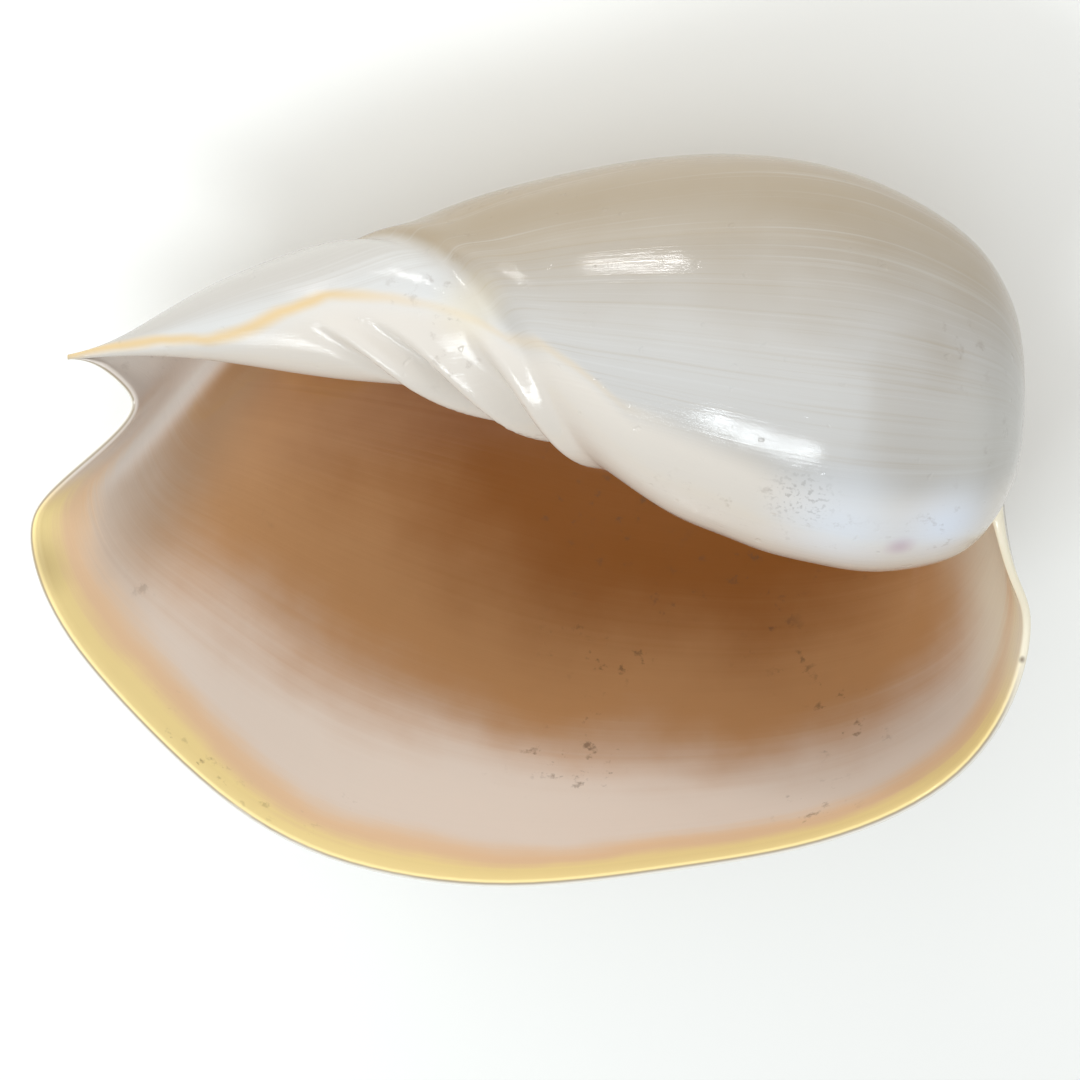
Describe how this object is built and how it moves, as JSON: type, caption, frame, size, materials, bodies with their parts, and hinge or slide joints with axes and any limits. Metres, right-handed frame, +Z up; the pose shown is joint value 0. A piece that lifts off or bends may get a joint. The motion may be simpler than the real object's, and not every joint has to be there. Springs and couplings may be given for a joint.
{
  "type": "melon shell",
  "caption": "Large swollen sea snail shell with a very wide mouth, folded pillar, notched front end and thin outer lip, lying on its back with the mouth turned up.",
  "frame": {"origin": "on the resting surface, under the middle of the shell's bounding box", "axes": "+Z up out of the resting surface, +X along the shell from the pointed front tip to the rounded crown, +Y from the outer lip towards the body whorl"},
  "size_m": [0.2414, 0.1644, 0.1233],
  "materials": {
    "shell": "glossy ivory, tan inside, yellow along the lip"
  },
  "bodies": {
    "root": {"shell": "shell"}
  },
  "joints": []
}
